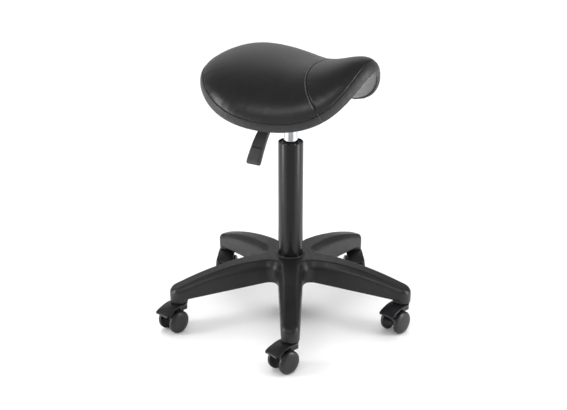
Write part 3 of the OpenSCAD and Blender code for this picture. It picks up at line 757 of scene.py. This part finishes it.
def build_staples():
    """The staples' crowns, flat wire pressed onto the hem, with their legs turned up into the shell."""
    turn = np.linspace(0, 2 * np.pi, 12, endpoint=False)
    section = [(0.00025 * math.sin(b), 0.00055 * math.cos(b)) for b in turn]
    half, rise, corner = STAPLE_W / 2, 0.0016, 0.0005
    leg = [(-half, rise), (-half, corner), (-half + corner, 0)]
    path = leg + [(-x, z) for x, z in reversed(leg)]
    bar, bar_faces = swept(path, lambda i: section)
    points, faces = [], []
    for k in range(STAPLE_COUNT):
        a = (k + 0.5) * 2 * math.pi / STAPLE_COUNT
        here, beside, above = (seat_point(b, 1.0, HEM_LOW - 0.0002 + h, BAND_LEAN + HEM_W - 0.003)
                               for b, h in ((a, 0), (a + 0.02, 0), (a, 0.001)))
        along = Vector(beside - here).normalized()
        up = Vector(above - here).normalized()
        axes = Matrix((along, up.cross(along), up)).transposed()
        faces.append(bar_faces + sum(len(p) for p in points))
        points.append(bar @ np.array(axes).T + here)
    piece = make_piece("hem_staples", np.concatenate(points), np.concatenate(faces), "tube",
                       "seat", "zinc_steel", ["staples"])
    close_hole(piece)


def build_stitches():
    """Topstitching along the rear side of the cross seam."""
    side = np.linspace(-SEAT_HALF_WIDTH, SEAT_HALF_WIDTH, 4001)
    slope = 2 * CROSS_SEAM_SWEEP * side / SEAT_HALF_WIDTH**2
    tilt = np.sqrt(1 + slope**2)
    forward = CROSS_SEAM + CROSS_SEAM_SWEEP * (side / SEAT_HALF_WIDTH) ** 2 - STITCH_GAP / tilt
    sideways = side + STITCH_GAP * slope / tilt
    a, r = polar(forward - SEAT_MID, sideways)
    line = seat_point(a, r, dome(a, r) - 0.0004)[r < 0.985]
    above = seat_point(a, r, dome(a, r) + 0.002)[r < 0.985] - line
    run = np.concatenate([[0], np.cumsum(np.linalg.norm(np.diff(line, axis=0), axis=-1))])
    length, pitch = 0.0023, 0.0034
    points, faces = [], []
    half_turn = np.linspace(0.01, math.pi - 0.01, 9)
    ball, ball_faces = lathe([(THREAD_R * math.sin(b), -0.5 * math.cos(b)) for b in half_turn], 8)
    for start in np.arange(0.004, run[-1] - 0.005, pitch):
        ends = [np.array([np.interp(start + d, run, line[:, k]) for k in range(3)]) for d in (0, length)]
        up = np.array([np.interp(start, run, above[:, k]) for k in range(3)])
        along = Vector(ends[1] - ends[0])
        turn = along.to_track_quat("Z", "Y").to_matrix()
        scaled = ball * np.array([1, 1, along.length * 1.05])
        middle = (ends[0] + ends[1]) / 2 + up / np.linalg.norm(up) * 0.00012
        faces.append(ball_faces + sum(len(p) for p in points))
        points.append(scaled @ np.array(turn).T + middle)
    make_piece("seam_stitches", np.concatenate(points), np.concatenate(faces), "thread",
               "seat", "black_vinyl")


def polar(forward, side):
    """Angle and share of the outline at a place on the seat, by narrowing in on the angle."""
    low, high = np.zeros_like(side), np.full_like(side, np.pi)
    for _ in range(48):
        middle = (low + high) / 2
        u, v = outline(middle)
        ahead = u * np.abs(side) > v * forward
        low, high = np.where(ahead, middle, low), np.where(ahead, high, middle)
    u, v = outline(low)
    return np.where(side < 0, -low, low), np.hypot(forward, side) / np.hypot(u, v)


def build_shell():
    """The moulded shell under the cushion, with its four screw bosses."""
    rows, columns = 60, 240
    a = np.linspace(0, 2 * np.pi, columns, endpoint=False)[None, :]
    t = np.linspace(0.01, 1, rows)[:, None]
    inset = BAND_LEAN + COVER_T + 0.0004
    under = seat_point(a, np.sin(t * np.pi / 2), -BAND_H + 0 * t * a, inset)
    points, faces = solid_sheet(under, -(SHELL_T - 0.001), True)
    bosses = []
    for x in (-BOLT_X, BOLT_X):
        for y in (-BOLT_Y, BOLT_Y):
            level = float(saddle(-y, -x)) - BAND_H
            boss, boss_faces = lathe(rounded([
                (0.0052, PLATE_TOP, 0.0004), (0.011, PLATE_TOP, 0.0012), (0.0122, level + 0.003, 0),
                (0.0052, level + 0.003, 0)]), 48)
            bosses.append((boss + np.array([x, y, 0]), boss_faces))
    for boss, boss_faces in bosses:
        faces = np.concatenate([faces, boss_faces + len(points)])
        points = np.concatenate([points, boss])
    piece = make_piece("shell_moulding", points, faces, "shell", "seat", "shell_plastic", ["seat_shell"])
    close_hole(piece)


def build_foam():
    """The foam core between the shell and the cover."""
    rows, columns = 40, 160
    a = np.linspace(0, 2 * np.pi, columns, endpoint=False)[None, :]
    t = np.linspace(0.01, 1, rows)[:, None]
    share = np.sin(t * np.pi / 2)
    inset = COVER_T + 0.0030
    top = seat_point(a, share, (dome(a, share) * (CROWN - inset) / CROWN), inset)
    low = seat_point(a, share[::-1], SHELL_T - BAND_H + 0.0003 + 0 * a * t, 0.004)
    grid = np.concatenate([top, low])
    faces = grid_faces(len(grid), columns)
    piece = make_piece("foam_core", grid.reshape(-1, 3), faces, "foam", "seat", "foam", ["seat_foam"])
    close_hole(piece)


# ---------------------------------------------------------------- lever


def bezier(p, t):
    return [(1 - t) ** 2 * p[0][k] + 2 * t * (1 - t) * p[1][k] + t * t * p[2][k] for k in range(2)]


def swept(path, section):
    """Points and faces of rings section(i) set square to a path in the x-z plane; the ends get no caps of
    their own.
    """
    rings = []
    for i, (x, z) in enumerate(path):
        before, after = path[max(i - 1, 0)], path[min(i + 1, len(path) - 1)]
        dx, dz = after[0] - before[0], after[1] - before[1]
        length = math.hypot(dx, dz)
        rings.append([(x - dz / length * n, w, z + dx / length * n) for w, n in section(i)])
    rings = np.array(rings)
    faces = grid_faces(*rings.shape[:2])
    return rings.reshape(-1, 3), faces


def build_lever():
    back = (ROD_END - ROD_BEND).normalized()
    corner = [(ROD_BEND.x + 0.007, ROD_BEND.z), (ROD_BEND.x, ROD_BEND.z),
              (ROD_BEND.x + 0.007 * back.x, ROD_BEND.z + 0.007 * back.z)]
    start = [(x, PIVOT.z) for x in (0.004, 0.0036, 0.0030)]
    bend = [tuple(bezier(corner, t)) for t in np.linspace(0, 1, 9)]
    end = [(ROD_END.x - back.x * short, ROD_END.z - back.z * short) for short in (0.001, 0.0004, 0)]
    path = start + bend + end
    last = len(path) - 1
    ends = {0: 0.0, 1: 0.8, last - 1: 0.8, last: 0.0}
    circle = np.linspace(0, 2 * np.pi, 32, endpoint=False)
    points, faces = swept(path, lambda i: [
        (LEVER_R * ends.get(i, 1.0) * math.cos(b), LEVER_R * ends.get(i, 1.0) * math.sin(b)) for b in circle])
    collar, collar_faces = lathe(rounded([
        (0.00205, -0.006, 0), (0.0055, -0.006, 0.0006), (0.0055, 0.006, 0.0006), (0.00205, 0.006, 0)]), 48)
    collar = placed(collar, Matrix.Translation(PIVOT) @ Matrix.Rotation(math.pi / 2, 4, "X"))
    faces = np.concatenate([faces, collar_faces + len(points)])
    make_piece("lever_bar", np.concatenate([points, collar]), faces, "steel",
               "lever", "bright_steel", ["lever_rod"])

    stations = 64
    round_end = 0.05
    share = np.linspace(0, 1, stations)
    path = [tuple(bezier(PADDLE, t)) for t in share]
    column = np.linspace(0, 2 * np.pi, 72, endpoint=False)

    def section(i):
        t = share[i]
        near_end = min(1.0, min(t, 1 - t) / round_end)
        cap = math.sqrt(max(1 - (1 - near_end) ** 2, 0))
        wide = lerp(*PADDLE_HALF_WIDTHS, t**0.6) * (1 - 0.16 * (1 - cap))
        thick = lerp(*PADDLE_HALF_DEPTHS, t) * cap
        ring = []
        for b in column:
            c, s = math.cos(b), math.sin(b)
            x = wide * math.copysign(abs(c) ** 0.42, c)
            n = thick * math.copysign(abs(s) ** 0.5, s)
            inside = max(1 - (abs(x) / (wide * 0.84)) ** 8, 0)
            ends = smooth_step((t - DISH_START) / 0.03) * smooth_step((DISH_END - t) / 0.015)
            dish = DISH_DEPTH * inside * ends
            ring.append((x, n + (dish if n < 0 < thick - 0.003 else 0)))
        return ring

    points, faces = swept(path, section)
    make_piece("lever_paddle", points, faces, "lever",
               "lever", "lever_plastic", ["lever_handle"], merge=0.00001)


def smooth_step(t):
    t = min(max(t, 0), 1)
    return t * t * (3 - 2 * t)


# ---------------------------------------------------------------- kept CAD pieces

CAD_MATERIALS = {
    "tube_end_plate": "tube", "lower_race": "steel", "bearing_balls": "steel", "piston_rod": "steel",
    "upper_race": "steel", "rod_clip": "steel", "stop_buffer": "rubber", "piston": "brass",
    "piston_seal": "rubber", "cylinder_gland": "steel", "valve_body": "brass", "valve_pin": "steel",
    "seat_mechanism": "tube", "seat_bolts": "zinc", "bolt_washers": "zinc", "t_nuts": "zinc",
    "lever_pin": "zinc", "grip_rings": "steel", "caster_stem": "zinc", "caster_axle": "zinc",
}


def dress_cad_pieces():
    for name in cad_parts:
        kind = next((k for k in CAD_MATERIALS if name == k or name.rstrip("_12345") == k), None)
        if kind:
            mesh = bpy.data.objects[name].data
            mesh.materials.clear()
            mesh.materials.append(MATERIALS[CAD_MATERIALS[kind]])


# ---------------------------------------------------------------- studio

CAMERA_PLACE = Vector((-2.0777, -1.1996, 1.2383))
CAMERA_HEADING, CAMERA_PITCH = math.radians(30.364), math.radians(22.32)


def add_camera():
    camera = bpy.data.objects.new("camera", bpy.data.cameras.new("camera"))
    camera.data.lens = 76.88
    camera.data.sensor_width = 36
    camera.location = CAMERA_PLACE
    look = Vector((math.cos(CAMERA_HEADING) * math.cos(CAMERA_PITCH),
                   math.sin(CAMERA_HEADING) * math.cos(CAMERA_PITCH), -math.sin(CAMERA_PITCH)))
    camera.rotation_euler = look.to_track_quat("-Z", "Y").to_euler()
    bpy.context.scene.collection.objects.link(camera)
    bpy.context.scene.camera = camera


def around(azimuth, distance, height):
    """A place at an azimuth in degrees round the column."""
    return (distance * math.cos(math.radians(azimuth)), distance * math.sin(math.radians(azimuth)), height)


def add_light(name, place, size, power, aim=(0, 0, 0.4)):
    """A rectangular soft box at a place, turned to face a point."""
    data = bpy.data.lights.new(name, "AREA")
    data.shape = "RECTANGLE"
    data.size, data.size_y = size
    data.energy = power
    light = bpy.data.objects.new(name, data)
    light.location = place
    light.rotation_euler = (Vector(aim) - Vector(place)).to_track_quat("-Z", "Y").to_euler()
    light.visible_camera = False
    bpy.context.scene.collection.objects.link(light)


def add_sun(strength, softness, direction):
    """A broad, even light that gloss does not show."""
    data = bpy.data.lights.new("sky_panel", "SUN")
    data.energy, data.angle = strength, math.radians(softness)
    sun = bpy.data.objects.new("sky_panel", data)
    sun.rotation_euler = Vector(direction).to_track_quat("-Z", "Y").to_euler()
    sun.visible_glossy = False
    bpy.context.scene.collection.objects.link(sun)


def add_flag():
    """A grey card on the floor before the stool, seen only in reflections."""
    points, faces = [], []
    azimuths = np.radians(np.linspace(172, 248, 19))
    for r in (0.40, 3.0):
        points += [(r * math.cos(b), r * math.sin(b), 0.0005) for b in azimuths]
    faces = grid_faces(2, len(azimuths), wrap_columns=False).tolist()
    mesh = bpy.data.meshes.new("flag")
    mesh.from_pydata(points, [], faces)
    card = Nodes("flag")
    card.set(Base_Color=(0.42, 0.42, 0.42, 1), Roughness=1.0, Specular_IOR_Level=0.0)
    mesh.materials.append(card.material)
    flag = bpy.data.objects.new("flag", mesh)
    for kind in ("camera", "diffuse", "transmission", "shadow", "volume_scatter"):
        setattr(flag, f"visible_{kind}", False)
    bpy.context.scene.collection.objects.link(flag)


def add_studio():
    world = bpy.data.worlds.new("studio")
    world.use_nodes = True
    world.node_tree.nodes["Background"].inputs["Color"].default_value = (1, 1, 1, 1)
    world.node_tree.nodes["Background"].inputs["Strength"].default_value = 0.27
    bpy.context.scene.world = world
    bpy.context.scene.view_settings.view_transform = "Standard"

    floor_mesh = bpy.data.meshes.new("floor")
    floor_mesh.from_pydata([(-20, -20, 0), (20, -20, 0), (20, 20, 0), (-20, 20, 0)], [], [(0, 1, 2, 3)])
    floor = bpy.data.objects.new("floor", floor_mesh)
    paper = Nodes("paper")
    paper.colour(paper.noise(3, 2), (0.90, 0.90, 0.90), (0.92, 0.92, 0.92))
    paper.set(Roughness=0.9)
    floor_mesh.materials.append(paper.material)
    bpy.context.scene.collection.objects.link(floor)

    add_sun(2.5, 80, (-0.10, -0.16, -1))
    add_light("back_panel", around(42, 2.9, 1.9), (4.0, 2.4), 15)
    add_light("front_panel", around(203, 2.3, 1.7), (1.5, 0.8), 16)
    add_light("left_strip", around(136, 1.5, 0.55), (0.40, 1.1), 14)
    add_light("right_strip", around(284, 1.5, 0.55), (0.40, 1.1), 14)
    add_flag()


# ---------------------------------------------------------------- the stool

add_camera()
build_base()
build_column()
build_casters()
build_cover()
build_band()
build_stitches()
build_staples()
build_shell()
build_foam()
build_lever()
dress_cad_pieces()
add_studio()

bpy.context.view_layer.update()
